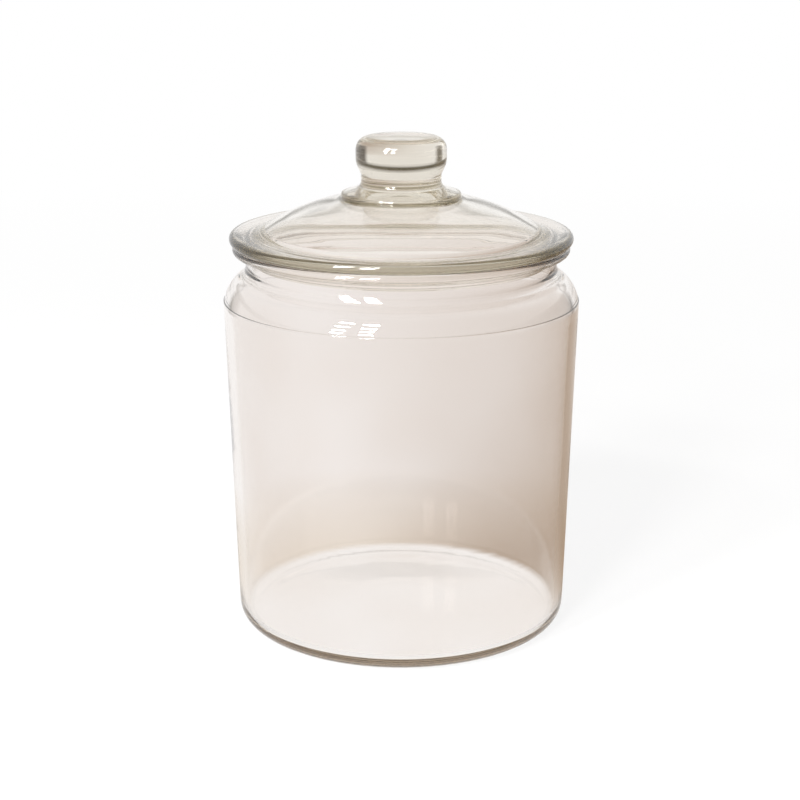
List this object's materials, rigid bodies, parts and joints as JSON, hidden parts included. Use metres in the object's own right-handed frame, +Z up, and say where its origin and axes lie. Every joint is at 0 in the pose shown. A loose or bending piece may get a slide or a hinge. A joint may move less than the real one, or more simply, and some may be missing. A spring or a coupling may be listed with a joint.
{
  "type": "lidded glass canister",
  "caption": "Wide-mouthed round glass storage jar with a rounded shoulder and rim bead, and a loose domed glass lid with a flange, a locating ring and a solid knob.",
  "frame": {"origin": "middle of the standing ring under the jar, on the surface it stands on", "axes": "+Z up along the axis of the jar and the lid; the object is round, so X and Y are free, and the picture looks along +Y"},
  "size_m": [0.177, 0.177, 0.2471],
  "materials": {
    "jar_glass": "clear blown soda-lime glass with a faint warm tint, fire-polished",
    "lid_glass": "clear pressed soda-lime glass with a faint warm tint, fire-polished"
  },
  "bodies": {
    "jar": {"jar": "jar_glass"},
    "lid": {"lid": "lid_glass"}
  },
  "joints": [
    {"name": "lid_lift", "type": "slide", "parent": "jar", "child": "lid", "axis": [0, 0, 1], "range_m": [0, 0.06]}
  ]
}
